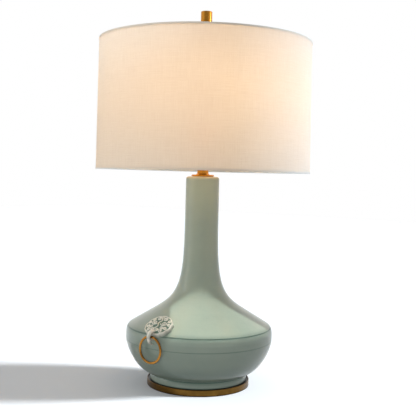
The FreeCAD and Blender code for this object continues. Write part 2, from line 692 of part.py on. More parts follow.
def build_shade():
    """Fabric on a stiff lining, a wire ring and a trim at each rim, and the spider."""
    whole = S.shade_high
    shade_wall("shade_fabric", S.trim_wall, S.fabric_wall, dim(0), whole)
    shade_wall("shade_lining", lining_out, S.lining_wall, dim(0), whole)
    shade_wall("shade_bottom_trim", dim(0), S.trim_wall, dim(0), S.trim_high)
    shade_wall("shade_top_trim", dim(0), S.trim_wall, whole - S.trim_high, whole)
    rim_level = shade_top - S.rim_wire_r
    rim_r = shade_top_r - rim_in
    top_ring = rim_ring("shade_top_ring", rim_r, rim_level)
    rim_ring("shade_bottom_ring", S.shade_r - rim_in - S.rim_slack, shade_level + S.rim_wire_r)
    hub = ring_piece("spider_hub", S.stud_r + S.slip, S.hub_r, hub_level, hub_top)
    doc.recompute()
    middle = hub_level.value + S.hub_thick.value / 2
    path = [Vector(S.hub_r.value - S.arm_sunk.value, 0, middle),
            Vector(rim_r.value - S.arm_bend.value, 0, middle),
            Vector(rim_r.value, 0, rim_level.value)]
    arm = rod_along(path, [S.arm_bend.value / 2], S.arm_r.value)
    count = int(S.arm_count.value)
    arms = []
    for index in range(count):
        one = arm.copy()
        one.rotate(Vector(), Vector(0, 0, 1), FIRST_ARM_ANGLE + 360 * index / count)
        trimmed = one.cut(hub.Shape).cut(top_ring.Shape)
        arms.append(max(trimmed.Solids, key=lambda solid: solid.Volume))
    spider = kept(doc.addObject("Part::Feature", "spider_arms"), "spider_arms")
    spider.Shape = Part.makeCompound(arms)


def build_finial():
    """A waisted seat that screws down on the hub, with a plain brass cylinder on it."""
    bore = S.stud_r + S.running
    top = finial_level + S.finial_seat_high
    turned("finial_seat", [
        [(bore, finial_level)],
        [(S.finial_seat_r, finial_level), (S.finial_seat_r, finial_level + S.finial_seat_high * 0.3)],
        [(S.finial_waist_r, finial_level + S.finial_seat_high * 0.5),
         (S.finial_waist_r, finial_level + S.finial_seat_high * 0.8)],
        [(S.finial_seat_r, top)], [(bore, top)]])
    edge = S.finial_round
    end = top + S.finial_high
    turned("finial_body", [
        [(0, top)],
        [(S.finial_r - edge, top), (S.finial_r, top)],
        [(S.finial_r, top + edge)],
        [(S.finial_r, end - edge), (S.finial_r, end)],
        [(S.finial_r - edge, end)], [(0, end)]])


def write_pieces():
    """Writes each piece to its own file, once every object has proved sound."""
    doc.recompute()
    for thing in doc.Objects:
        if {"Invalid", "Error"} & set(thing.State):
            raise RuntimeError(f"{thing.Label} is in state {thing.State}")
    os.makedirs("parts", exist_ok=True)
    for piece in PIECES:
        if piece.Shape.isNull() or not piece.Shape.isValid():
            raise RuntimeError(f"{piece.Label} has no sound shape")
        piece.Shape.exportStep(f"parts/{piece.Label}.step")


build_base()
build_vase()
build_handles()
build_spine()
build_saddle()
build_socket()
build_bulb()
build_harp()
build_shade()
build_finial()
write_pieces()
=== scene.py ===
"""Looks of the table lamp: celadon vase, linen drum shade lit from inside, brass fittings.

Metres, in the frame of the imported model. The camera stands at azimuth -54 degrees; +Z is up.
"""

import json
import math

import bmesh
import bpy
import numpy as np
from mathutils import Matrix, Vector
from mathutils.bvhtree import BVHTree


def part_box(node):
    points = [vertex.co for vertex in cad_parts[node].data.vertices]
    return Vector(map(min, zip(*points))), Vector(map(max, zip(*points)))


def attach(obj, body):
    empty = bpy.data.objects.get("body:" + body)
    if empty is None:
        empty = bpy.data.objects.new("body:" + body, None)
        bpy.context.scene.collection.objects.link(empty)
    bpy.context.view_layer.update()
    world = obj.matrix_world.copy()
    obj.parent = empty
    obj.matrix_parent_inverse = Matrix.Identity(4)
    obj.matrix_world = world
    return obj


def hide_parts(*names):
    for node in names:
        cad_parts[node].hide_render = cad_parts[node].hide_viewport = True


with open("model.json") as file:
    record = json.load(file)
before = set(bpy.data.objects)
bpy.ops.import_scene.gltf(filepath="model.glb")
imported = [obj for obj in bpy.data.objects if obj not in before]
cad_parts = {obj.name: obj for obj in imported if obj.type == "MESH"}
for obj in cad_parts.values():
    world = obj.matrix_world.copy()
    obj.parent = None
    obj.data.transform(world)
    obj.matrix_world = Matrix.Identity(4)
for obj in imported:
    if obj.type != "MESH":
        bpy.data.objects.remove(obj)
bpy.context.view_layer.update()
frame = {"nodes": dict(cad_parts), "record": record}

NODES = frame["nodes"]
SLOTS = {row["node"]: row["material_slot"] for row in frame["record"]["subparts"]}

# Camera, from the ellipses of the shade and the base ring in the photograph (416 pixels square)
PHOTO_PIXELS = 416
FOCAL_PIXELS = 765.3
SENSOR = 36.0
CAMERA_AZIMUTH = math.radians(-54)
CAMERA_DISTANCE = 1.4638
CAMERA_HEIGHT = 0.3967
CAMERA_PITCH = math.radians(-2.286)
CAMERA_ROLL = math.radians(1.4)
CAMERA_PAN = math.radians(-0.45)

# Where the bulb glows, how far the cloth's share of it stands forward, and the soft radius of its light
BULB_CENTRE = Vector((0, 0, 0.556))
BULB_FORWARD = 0.045
BULB_SOFT = 0.012
BULB_COLOUR = (1.0, 0.66, 0.36)

# Tones of the glaze by height, painted shade and painted light among them: middle level, half width, share,
# tone
# Dark green of glaze pooled in the incised lines, also used as painted shade on the foot
POOLED_AND_SHADE = (0.050, 0.125, 0.100)
GLAZE_AND_PAINTED_LIGHT_BANDS = (
    (0.0640, 0.0620, 0.20, (0.185, 0.250, 0.212)),  # painted shade, darker below the belly line
    (0.0380, 0.0300, 0.50, (0.150, 0.215, 0.180)),  # painted shade, darker under the bowl
    (0.1128, 0.0016, 0.80, POOLED_AND_SHADE),  # line round the shoulder's edge, and a haze about it
    (0.1135, 0.0075, 0.25, POOLED_AND_SHADE),
    (0.0888, 0.0013, 0.45, POOLED_AND_SHADE),  # line round the belly
    (0.0240, 0.0022, 0.75, POOLED_AND_SHADE),  # pinch above the foot, and a haze about it
    (0.0240, 0.0080, 0.25, POOLED_AND_SHADE),
    (0.0115, 0.0045, 0.45, POOLED_AND_SHADE),  # painted shade on the foot, where it enters the base ring
    (0.3985, 0.0060, 0.65, (0.66, 0.50, 0.33)),  # painted warm light of the bulb, cream over the lip
    (0.0112, 0.0028, 1.00, (0.010, 0.008, 0.006)))  # painted shade, black down in the base ring

# The base ring gets painted shade inside this radius and in this band along its lower edge
PAINTED_SHADE_RADIUS = 0.0966
PAINTED_SHADE_BAND = (0.0008, 0.0022)

# Handles: where the mask sits on the shoulder, its size, its carving, and the line the ring hangs from
MASK_RADIUS = 0.1195
MASK_HALF_WIDE = 0.0264
MASK_HALF_LONG = 0.0232
MASK_BODY = 0.0085
MASK_DOME = 0.0014
MASK_STEPS = 220
MASK_RINGS = 60
RIDGE_HALF = 0.0010
RIDGE_HIGH = 0.0020
RIM_SHARE = 0.070
EDGE_DROPS = (0.62, 0.30, -0.25)
RAY_START = 0.03
RING_AXIS = (0.146, 0.1124)
TUBE_STEPS = 20
TUBE_SPOTS = 48

# Faces of the shade's cloth, round the drum and up it
SHADE_COLUMNS = 360
SHADE_ROWS = 60

# Studio: the world's plain light, how dim its reflection gets, the floor, the sun, and the beam's panel
AMBIENT = 0.36
DIM = 0.45
FLOOR_REACH = 6.0
AIM = Vector((0, 0, 0.25))
SUN_ANGLE = math.radians(9)
BEAM_WIDE, BEAM_DEEP = 0.260, 0.140
BEAM_START, BEAM_LEFT, BEAM_LEVEL = 0.045, 0.054, 0.42
BEAM_SPREAD = math.radians(2.6)


# ------------------------------------------------------------------ node materials
class Nodes:
    """A node tree under construction: add nodes, then link or set their sockets."""

    def __init__(self, data):
        self.data = data
        data.use_nodes = True
        self.tree = data.node_tree

    def feed(self, socket, value):
        """Links a socket to another one, or sets its own value."""
        if isinstance(value, bpy.types.NodeSocket):
            self.tree.links.new(value, socket)
        else:
            socket.default_value = value

    def set(self, node, **values):
        for key, value in values.items():
            self.feed(node.inputs[key.replace("_", " ")], value)
        return node

    def add(self, kind, props=None, **values):
        node = self.tree.nodes.new("ShaderNode" + kind)
        for key, value in (props or {}).items():
            setattr(node, key, value)
        return self.set(node, **values)

    def place(self, scale=(1, 1, 1), source="Object"):
        """Coordinates of the surface itself, stretched by scale."""
        coords = self.add("TexCoord")
        mapping = self.add("Mapping", Vector=coords.outputs[source])
        mapping.inputs["Scale"].default_value = scale
        return mapping.outputs["Vector"]

    def noise(self, scale, detail=4.0, roughness=0.55, stretch=(1, 1, 1), source="Object"):
        node = self.add("TexNoise", Scale=scale, Detail=detail, Roughness=roughness,
                        Vector=self.place(stretch, source))
        return node.outputs["Fac"]

    def ramp(self, factor, *stops):
        node = self.add("ValToRGB", Fac=factor)
        elements = node.color_ramp.elements
        while len(elements) < len(stops):
            elements.new(0.5)
        for element, (place, colour) in zip(elements, stops):
            element.position = place
            element.color = (*colour, 1) if len(colour) == 3 else colour
        return node.outputs["Color"]

    def mix(self, factor, one, other):
        """Mixes two colours: all of the first where the factor is 0."""
        node = self.add("Mix", {"data_type": "RGBA"})
        self.feed(node.inputs[0], factor)
        for index, colour in ((6, one), (7, other)):
            self.feed(node.inputs[index], (*colour, 1) if isinstance(colour, tuple) else colour)
        return node.outputs[2]

    def mix_shaders(self, factor, one, other):
        node = self.add("MixShader")
        for socket, value in zip(node.inputs, (factor, one, other)):
            self.feed(socket, value)
        return node.outputs[0]

    def maths(self, operation, one, other=0.0):
        node = self.add("Math", {"operation": operation})
        for socket, value in zip(node.inputs, (one, other)):
            self.feed(socket, value)
        return node.outputs[0]

    def vector(self, operation, one, other=(0, 0, 0)):
        """The node itself, because its result is a vector or a value."""
        node = self.add("VectorMath", {"operation": operation})
        for socket, value in zip(node.inputs, (one, other)):
            self.feed(socket, value)
        return node

    def axis(self, vector, letter):
        return self.add("SeparateXYZ", Vector=vector).outputs[letter]

    def step(self, value, low, high, to_low, to_high):
        """A smooth step from one level to another between two values of a socket."""
        node = self.add("MapRange", {"interpolation_type": "SMOOTHSTEP"}, Value=value)
        for key, number in (("From Min", low), ("From Max", high), ("To Min", to_low), ("To Max", to_high)):
            node.inputs[key].default_value = number
        return node.outputs[0]

    def spread(self, factor, low, high):
        """Maps a factor from 0..1 to low..high."""
        node = self.add("MapRange", Value=factor)
        node.inputs["To Min"].default_value = low
        node.inputs["To Max"].default_value = high
        return node.outputs[0]

    def band(self, level, half):
        """One at a height of the object, falling to nothing a half width above and below it."""
        height = self.axis(self.place(), "Z")
        away = self.maths("ABSOLUTE", self.maths("SUBTRACT", height, level))
        return self.step(away, 0.0, half, 1.0, 0.0)

    def inward(self, reach):
        """How far the surface faces the lamp's axis along X, from -1 to 1, on a part at about this reach."""
        place = self.axis(self.add("NewGeometry").outputs["Position"], "X")
        normal = self.axis(self.add("TexCoord").outputs["Normal"], "X")
        return self.maths("MULTIPLY", self.maths("MULTIPLY", place, normal), -1 / reach)

    def radius(self):
        """How far the surface lies from the object's upright axis."""
        flat = self.vector("MULTIPLY", self.place(), (1, 1, 0)).outputs[0]
        return self.vector("LENGTH", flat).outputs["Value"]

    def bump(self, height, distance, strength=1.0, under=None):
        """A normal from a height field, over another normal where one is given."""
        node = self.add("Bump", Height=height, Distance=distance, Strength=strength)
        if under is not None:
            self.set(node, Normal=under)
        return node.outputs["Normal"]


class Material(Nodes):
    """A node material on the standard surface shader."""

    def __init__(self, name):
        super().__init__(bpy.data.materials.new(name))
        self.surface = self.tree.nodes["Principled BSDF"]
        self.output = self.tree.nodes["Material Output"]


def glaze(name, ridged=False):
    """Celadon glaze: pale grey-green, greener where it pools, with streaks, specks and a glassy coat.

    On the carved masks it pools dark between the ridges and breaks cream over them. Elsewhere bands of
    painted shade darken the lower bowl, the foot and the gap in the base ring, and a band of painted warm
    light lies over the lip.
    """
    mat = Material(name)
    cloud = mat.noise(9, 5, 0.6)
    if ridged:
        relief = mat.add("Attribute", {"attribute_name": "relief"}).outputs["Fac"]
        colour = mat.ramp(relief, (0.0, (0.120, 0.190, 0.145)), (0.22, (0.240, 0.310, 0.245)),
                          (0.55, (0.620, 0.615, 0.530)), (1.0, (0.900, 0.840, 0.755)))
    else:
        colour = mat.ramp(cloud, (0.30, (0.295, 0.372, 0.318)), (0.52, (0.345, 0.420, 0.355)),
                          (0.75, (0.385, 0.452, 0.375)))
        streak = mat.noise(60, 3, 0.6, (1, 1, 0.05))
        colour = mat.mix(mat.spread(streak, 0.0, 0.25), colour, (0.41, 0.43, 0.35))
        speck = mat.noise(900, 2, 0.5)
        colour = mat.mix(mat.spread(speck, 0.0, 0.16), colour, (0.24, 0.30, 0.25))
        for level, half, share, tone in GLAZE_AND_PAINTED_LIGHT_BANDS:
            colour = mat.mix(mat.maths("MULTIPLY", mat.band(level, half), share), colour, tone)
    ripple = mat.bump(mat.noise(14, 3, 0.5, (1, 1, 2.2)), 0.0030, 0.35)
    rings = mat.bump(mat.noise(30, 3, 0.6, (0.05, 0.05, 3.0)), 0.0010, 0.35, ripple)
    mat.set(mat.surface, Base_Color=colour, Roughness=mat.spread(cloud, 0.24, 0.36), Normal=rings,
            Coat_Weight=0.32, Coat_Roughness=0.08, Coat_IOR=1.5)
    mat.surface.inputs["Specular IOR Level"].default_value = 0.2
    return mat.data


def brass(name, light, dark, roughness, grain, patina=0.35, scratch=0.10, painted_shade=None):
    """Brass with turned or drawn brush lines and a patina in patches.

    Painted shade darkens the hoops' side towards the vase, and the base ring's inside and lower edge.
    """
    mat = Material(name)
    patch = mat.noise(42, 6, 0.65)
    lines = mat.noise(240, 4, 0.7, grain)
    tarnish = mat.ramp(patch, (0.5 - patina / 2, (0, 0, 0)), (0.5 + patina, (1, 1, 1)))
    colour = mat.mix(tarnish, dark, light)
    colour = mat.mix(mat.spread(lines, 0.0, 0.5), colour, tuple(value * 0.62 for value in light))
    # Painted shade and reflection: the hoops darken on their side that faces the vase, standing for the dark
    # vase mirrored there
    if painted_shade == "hoop":
        turned = mat.maths("ADD", mat.inward(RING_AXIS[0]), 0.5)
        colour = mat.mix(mat.ramp(turned, (0.08, (0, 0, 0)), (0.42, (1, 1, 1))), colour,
                         (0.050, 0.020, 0.006))
    # Painted shade inside the base ring, in the gap round the foot, and along its lower edge at the floor
    if painted_shade == "foot":
        inside = mat.maths("LESS_THAN", mat.radius(), PAINTED_SHADE_RADIUS)
        shade_mask = mat.maths("MAXIMUM", inside, mat.band(*PAINTED_SHADE_BAND))
        colour = mat.mix(shade_mask, colour, (0.020, 0.013, 0.008))
    rough = mat.maths("ADD", mat.spread(lines, roughness * 0.7, roughness * 1.3),
                      mat.spread(patch, 0.08, -0.04))
    mat.set(mat.surface, Base_Color=colour, Metallic=1.0, Roughness=rough,
            Normal=mat.bump(lines, 0.0004, scratch))
    return mat.data


def plated(name, colour, roughness):
    """Plated or polished small metal with fine drawn lines and dulled patches."""
    mat = Material(name)
    patch = mat.noise(120, 5, 0.6)
    lines = mat.noise(500, 3, 0.6, (1, 1, 0.08))
    tone = mat.mix(mat.spread(patch, 0.0, 0.6), colour, tuple(value * 0.7 for value in colour))
    mat.set(mat.surface, Base_Color=tone, Metallic=1.0,
            Roughness=mat.spread(lines, roughness * 0.75, roughness * 1.35),
            Normal=mat.bump(lines, 0.0002, 0.2))
    return mat.data


def fibrous(name, light, dark, scale, roughness=0.9, deep=0.0006):
    """Felt, cork or board: matted fibres or grains in two tones."""
    mat = Material(name)
    grain = mat.noise(scale, 6, 0.7)
    fleck = mat.add("TexVoronoi", Scale=scale * 0.6, Vector=mat.place()).outputs["Distance"]
    colour = mat.mix(mat.spread(grain, 0.1, 0.9), dark, light)
    colour = mat.mix(mat.spread(fleck, 0.25, 0.0), colour, dark)
    mat.set(mat.surface, Base_Color=colour, Roughness=roughness, Sheen_Weight=0.2,
            Normal=mat.bump(grain, deep, 0.6))
    return mat.data


def moulded(name, colour, roughness):
    """Moulded resin: slightly clouded, with fine orange peel."""
    mat = Material(name)
    cloud = mat.noise(160, 4, 0.6)
    tone = mat.mix(mat.spread(cloud, 0.0, 0.7), colour, tuple(value * 1.6 + 0.004 for value in colour))
    mat.set(mat.surface, Base_Color=tone, Roughness=mat.spread(cloud, roughness * 0.8, roughness * 1.3),
            Normal=mat.bump(mat.noise(800, 2, 0.5), 0.0002, 0.3))
    return mat.data


def let_light_through(mat):
    """Lets shadow and transmission rays pass a thin wall, so that it doesn't swallow the lamp's light."""
    path = mat.add("LightPath")
    passing = mat.maths("MAXIMUM", path.outputs["Is Shadow Ray"], path.outputs["Is Transmission Ray"])
    clear = mat.add("BsdfTransparent").outputs[0]
    mat.set(mat.output, Surface=mat.mix_shaders(passing, mat.surface.outputs[0], clear))


def bulb_glass(name, glow):
    """Thin frosted glass, glowing a little, clear to the lamp's own light."""
    mat = Material(name)
    haze = mat.noise(60, 3, 0.5)
    mat.set(mat.surface, Base_Color=mat.ramp(haze, (0.3, (0.95, 0.90, 0.80)), (0.7, (1.0, 0.96, 0.88))),
            Roughness=mat.spread(haze, 0.12, 0.30), Transmission_Weight=0.85, IOR=1.45,
            Emission_Color=(1.0, 0.80, 0.52, 1), Emission_Strength=glow,
            Normal=mat.bump(haze, 0.0003, 0.3))
    let_light_through(mat)
    return mat.data


def linen(name):
    """Fine linen on a lining: slubbed warp and weft, which let the lamp's warm light through."""
    mat = Material(name)
    warp = mat.noise(1.0, 3, 0.65, (1500, 40, 1), "UV")
    weft = mat.noise(1.0, 3, 0.65, (40, 1500, 1), "UV")
    slub_warp = mat.noise(1.0, 2, 0.5, (520, 14, 1), "UV")
    slub_weft = mat.noise(1.0, 2, 0.5, (14, 520, 1), "UV")
    threads = mat.maths("ADD", mat.maths("MULTIPLY", mat.maths("ADD", warp, weft), 0.35),
                        mat.maths("MULTIPLY", mat.maths("ADD", slub_warp, slub_weft), 0.15))
    tone = mat.ramp(threads, (0.36, (0.80, 0.775, 0.73)), (0.50, (0.85, 0.83, 0.79)),
                    (0.64, (0.885, 0.87, 0.84)))
    glow = mat.ramp(threads, (0.36, (0.76, 0.655, 0.53)), (0.50, (0.83, 0.73, 0.60)),
                    (0.64, (0.885, 0.795, 0.67)))
    relief = mat.bump(threads, 0.0009, 0.4)
    front = mat.add("BsdfDiffuse", Color=tone, Normal=relief).outputs[0]
    even = mat.add("BsdfTranslucent", Color=glow, Normal=relief).outputs[0]
    ahead = mat.add("BsdfRefraction", Color=glow, Roughness=0.80, IOR=1.35).outputs[0]
    through = mat.mix_shaders(0.30, even, ahead)
    mat.set(mat.output, Surface=mat.mix_shaders(0.46, front, through))
    mat.tree.nodes.remove(mat.surface)
    return mat.data


def lining(name):
    """White lining inside the drum, seen only from inside and above."""
    mat = Material(name)
    grain = mat.noise(300, 3, 0.5)
    mat.set(mat.surface, Base_Color=mat.ramp(grain, (0.3, (0.86, 0.82, 0.75)), (0.7, (0.93, 0.90, 0.84))),
            Roughness=mat.spread(grain, 0.5, 0.7), Normal=mat.bump(grain, 0.0002, 0.3))
    let_light_through(mat)
    return mat.data


MATERIALS = {
    "celadon": glaze("celadon"),
    "celadon_relief": glaze("celadon_relief", ridged=True),
    "antique_brass": brass("antique_brass", (0.26, 0.137, 0.028), (0.09, 0.045, 0.011), 0.34, (0.06, 0.06, 3),
                           painted_shade="foot"),
    "ring_brass": brass("ring_brass", (0.62, 0.28, 0.055), (0.26, 0.115, 0.020), 0.24, (1, 1, 1), 0.3,
                        painted_shade="hoop"),
    "finial_brass": brass("finial_brass", (0.72, 0.31, 0.045), (0.46, 0.19, 0.022), 0.20, (1, 1, 0.05), 0.2),
    "plain_brass": plated("plain_brass", (0.72, 0.53, 0.24), 0.28),
    "zinc_steel": plated("zinc_steel", (0.60, 0.60, 0.58), 0.34),
    "solder": plated("solder", (0.70, 0.70, 0.69), 0.30),
    "felt": fibrous("felt", (0.060, 0.066, 0.060), (0.022, 0.026, 0.024), 900, 0.95),
    "board": fibrous("board", (0.30, 0.22, 0.14), (0.17, 0.12, 0.07), 500),
    "cork": fibrous("cork", (0.40, 0.27, 0.16), (0.17, 0.10, 0.05), 350),
    "liner_card": fibrous("liner_card", (0.28, 0.20, 0.13), (0.17, 0.12, 0.08), 700),
    "bakelite": moulded("bakelite", (0.020, 0.014, 0.011), 0.26),
    "black_glass": moulded("black_glass", (0.010, 0.010, 0.011), 0.12),
    "bulb_glass": bulb_glass("bulb_glass", 1.6),
    "filament": bulb_glass("filament", 30.0),
    "shade_linen": linen("shade_linen"),
    "shade_lining": lining("shade_lining"),
    "shade_trim": fibrous("shade_trim", (0.88, 0.80, 0.70), (0.74, 0.66, 0.56), 1400, 0.85, 0.0003),
}


# The ring on the vase's lip is polished, where its neighbour at the foot is dark
BRIGHTER = {"check_ring": "finial_brass"}


def dress_frame():
    """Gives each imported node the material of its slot, or its brighter one."""
    for node, thing in NODES.items():
        thing.data.materials.clear()
        thing.data.materials.append(MATERIALS[BRIGHTER.get(node, SLOTS[node])])


def place_object(name, data):
    """A new object in the scene that shows the given mesh, light or camera."""
    thing = bpy.data.objects.new(name, data)
    bpy.context.scene.collection.objects.link(thing)
    return thing


def new_piece(name, mesh, body, slot):
    """A visible piece that rides on a body and wears the material of a slot."""
    piece = place_object(name, mesh)
    mesh.materials.append(MATERIALS[slot])
    mesh.shade_smooth()
    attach(piece, body)
    return piece


# ------------------------------------------------------------------ shade
def shade_cloth():
    """The linen drum, as a sheet stretched round the lining, with its seam at the back."""
    low, high = (Vector(corner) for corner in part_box("shade_fabric"))
    low_r = (high.x - low.x) / 2
    # The top trim stands out from the cloth as far as the bottom trim does
    trim_low, trim_high = (Vector(corner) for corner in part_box("shade_top_trim"))
    high_r = (trim_high.x - trim_low.x) / 2 - (Vector(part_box("shade_bottom_trim")[1]).x - high.x)
    mesh = bpy.data.meshes.new("shade_linen")
    build = bmesh.new()
    uv = build.loops.layers.uv.new("UVMap")
    seam = math.radians(90)
    grid = []
    for row in range(SHADE_ROWS + 1):
        share = row / SHADE_ROWS
        radius = low_r + (high_r - low_r) * share
        level = low.z + (high.z - low.z) * share
        turns = [seam + 2 * math.pi * column / SHADE_COLUMNS for column in range(SHADE_COLUMNS)]
        grid.append([build.verts.new((math.cos(turn) * radius, math.sin(turn) * radius, level))
                     for turn in turns])
    around = 2 * math.pi * low_r
    tall = high.z - low.z
    for row in range(SHADE_ROWS):
        for column in range(SHADE_COLUMNS):
            after = (column + 1) % SHADE_COLUMNS
            face = build.faces.new((grid[row][column], grid[row][after], grid[row + 1][after],
                                    grid[row + 1][column]))
            places = ((column, row), (column + 1, row), (column + 1, row + 1), (column, row + 1))
            for loop, (u, v) in zip(face.loops, places):
                loop[uv].uv = (u / SHADE_COLUMNS * around, v / SHADE_ROWS * tall)
    build.to_mesh(mesh)
    build.free()
    cloth = new_piece("shade_linen", mesh, "shade", "shade_linen")
    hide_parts("shade_fabric")
    return cloth


# ------------------------------------------------------------------ handles
def spiral(centre, wide, narrow, start, turns):
    """Points of a scroll that winds inwards, in shares of the mask's half width and half length."""
    count = int(abs(turns) * 40)
    points = []
    for index in range(count + 1):
        share = index / count
        radius = wide + (narrow - wide) * share ** 0.8
        angle = math.radians(start) + 2 * math.pi * turns * share
        points.append((centre[0] + radius * math.cos(angle), centre[1] + radius * math.sin(angle)))
    return points


def scroll_lines():
    """The raised lines of the mask: paired scrolls, commas along the rim, and a ridge down the middle."""
    half = [spiral((0.40, 0.14), 0.25, 0.06, 200, 1.45),
            spiral((0.24, 0.62), 0.19, 0.06, 150, -1.3),
            spiral((0.62, 0.50), 0.15, 0.05, 250, 1.1),
            spiral((0.80, 0.10), 0.14, 0.05, 180, -1.2),
            spiral((0.74, -0.30), 0.14, 0.05, 100, 1.1),
            spiral((0.44, -0.30), 0.15, 0.05, 20, -1.2),
            spiral((0.52, -0.66), 0.15, 0.05, 60, 1.1),
            spiral((0.18, -0.56), 0.16, 0.05, 20, -1.2)]
    lines = [[(side * x, y) for x, y in line] for line in half for side in (-1, 1)]
    lines.append([(0.06 * math.sin(index / 5), 0.90 - 0.02 * index) for index in range(70)])
    return lines


def mask_outline(angle):
    """The lobed fan, in shares of the half width and half length: round above, squarer below."""
    lobes = 0.94 + 0.06 * abs(math.cos(angle * 5.5)) ** 0.7
    x, y = math.sin(angle), math.cos(angle)
    power = 1.0 if y > 0 else 0.8
    return lobes * math.copysign(abs(x) ** power, x), lobes * math.copysign(abs(y) ** power, y)


def join_rings(faces, first, count):
    """Faces between a ring of points and the next ring of as many."""
    for step in range(count):
        after = (step + 1) % count
        faces.append((first + step, first + count + step, first + count + after, first + after))


def mask_mesh(side):
    """A carved plaque on the shoulder: raised scrolls on a domed body with a thick lobed edge."""
    vase = NODES["vase_body"]
    tree = BVHTree.FromPolygons([vase.matrix_world @ vert.co for vert in vase.data.vertices],
                                [poly.vertices for poly in vase.data.polygons])
    place, normal, _, _ = tree.ray_cast(Vector((side * MASK_RADIUS, 0, 0.4)), Vector((0, 0, -1)))
    normal = Vector((normal.x, 0, normal.z)).normalized()
    across = Vector((0, 1, 0))
    upward = Vector((-side * normal.z, 0, abs(normal.x)))
    scrolls = np.array([point for line in scroll_lines() for point in line])
    scrolls *= (MASK_HALF_WIDE, MASK_HALF_LONG)
    outline = [mask_outline(2 * math.pi * step / MASK_STEPS) for step in range(MASK_STEPS)]
    verts, reliefs, faces = [], [], []

    def add(x, y, high, relief):
        """A point a height above the glaze, where a ray along the mask's normal meets it."""
        spot = place + across * x + upward * y + normal * RAY_START
        hit = tree.ray_cast(spot, -normal)[0]
        verts.append(hit + normal * high)
        reliefs.append(relief)

    for ring in range(MASK_RINGS + 1):
        share = ring / MASK_RINGS
        for wide, long in outline:
            x = wide * share * MASK_HALF_WIDE
            y = long * share * MASK_HALF_LONG
            away = np.hypot(scrolls[:, 0] - x, scrolls[:, 1] - y).min()
            ridge = math.exp(-(away / RIDGE_HALF) ** 2)
            rim = math.exp(-((1 - share) / RIM_SHARE) ** 2)
            raised = max(ridge * (1 - rim), rim * 0.9)
            dome = MASK_DOME * (1 - share ** 2)
            add(x, y, MASK_BODY - RIDGE_HIGH + dome + RIDGE_HIGH * raised, raised)
    for drop in EDGE_DROPS:
        swell = 1.012 + 0.012 * (1 - drop)
        for wide, long in outline:
            add(wide * swell * MASK_HALF_WIDE, long * swell * MASK_HALF_LONG, MASK_BODY * drop,
                0.30 + 0.5 * drop)
    for ring in range(MASK_RINGS + len(EDGE_DROPS)):
        join_rings(faces, ring * MASK_STEPS, MASK_STEPS)
    for path, widths, depths in loop_routes():
        tube_into(verts, faces, reliefs, side, path, widths, depths)
    mesh = bpy.data.meshes.new("mask")
    mesh.from_pydata(verts, [], faces)
    attribute = mesh.attributes.new("relief", "FLOAT", "POINT")
    attribute.data.foreach_set("value", reliefs)
    build = bmesh.new()
    build.from_mesh(mesh)
    bmesh.ops.remove_doubles(build, verts=build.verts[:MASK_STEPS], dist=1e-7)
    bmesh.ops.recalc_face_normals(build, faces=build.faces)
    build.to_mesh(mesh)
    build.free()
    return mesh


def loop_routes():
    """The loop that holds the ring and the tongue below it: route, half widths, half depths."""
    x, z = RING_AXIS
    loop = [(x - 0.0085, z + 0.0090), (x - 0.0040, z + 0.0094), (x + 0.0010, z + 0.0078),
            (x + 0.0048, z + 0.0034), (x + 0.0055, z - 0.0010), (x + 0.0034, z - 0.0048),
            (x - 0.0020, z - 0.0056), (x - 0.0100, z - 0.0058)]
    tongue = [(x + 0.0052, z + 0.0010), (x + 0.0052, z - 0.0045), (x + 0.0034, z - 0.0092),
              (x - 0.0008, z - 0.0125), (x - 0.0052, z - 0.0142), (x - 0.0088, z - 0.0148)]
    return ((loop, (0.0052, 0.0024), (0.0030, 0.0023)), (tongue, (0.0034, 0.0014), (0.0023, 0.0014)))


def tube_into(verts, faces, reliefs, side, path, widths, depths):
    """Adds a tapering closed tube of oval section along a smoothed route in the handle's plane."""
    spots = [Vector((r, 0, z)) for r, z in path]
    line = [catmull(spots, step / TUBE_SPOTS) for step in range(TUBE_SPOTS + 1)]
    first = len(verts)
    for step, spot in enumerate(line):
        share = step / TUBE_SPOTS
        ahead = (line[min(step + 1, TUBE_SPOTS)] - line[max(step - 1, 0)]).normalized()
        out = Vector((ahead.z, 0, -ahead.x))
        half = widths[0] + (widths[1] - widths[0]) * share
        deep = depths[0] + (depths[1] - depths[0]) * share
        for corner in range(TUBE_STEPS):
            angle = 2 * math.pi * corner / TUBE_STEPS
            point = spot + Vector((0, 1, 0)) * math.cos(angle) * half + out * math.sin(angle) * deep
            verts.append(Vector((side * point.x, point.y, point.z)))
            reliefs.append(0.72 + 0.2 * math.sin(share * 9))
    for step in range(TUBE_SPOTS):
        join_rings(faces, first + step * TUBE_STEPS, TUBE_STEPS)
    for end in (first, first + TUBE_SPOTS * TUBE_STEPS):
        faces.append(tuple(range(end, end + TUBE_STEPS)))


def catmull(points, share):
    """A point on the smooth line through the given ones."""
    place = share * (len(points) - 1)
    index = min(int(place), len(points) - 2)
    t = place - index
    p1, p2 = points[index], points[index + 1]
    p0 = points[index - 1] if index else p1 * 2 - p2
    p3 = points[index + 2] if index + 2 < len(points) else p2 * 2 - p1
    return 0.5 * (p1 * 2 + (p2 - p0) * t + (p0 * 2 - p1 * 5 + p2 * 4 - p3) * t ** 2
                  + (p1 * 3 - p0 - p2 * 3 + p3) * t ** 3)


def carved_masks():
    """The two masks with their loops, in place of the plain solids."""
    pieces = []
    for side, node in ((-1, "mask_left"), (1, "mask_right")):
        piece = new_piece(f"carved_{node}", mask_mesh(side), "base", "celadon_relief")
        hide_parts(node)
        pieces.append(piece)
    return pieces


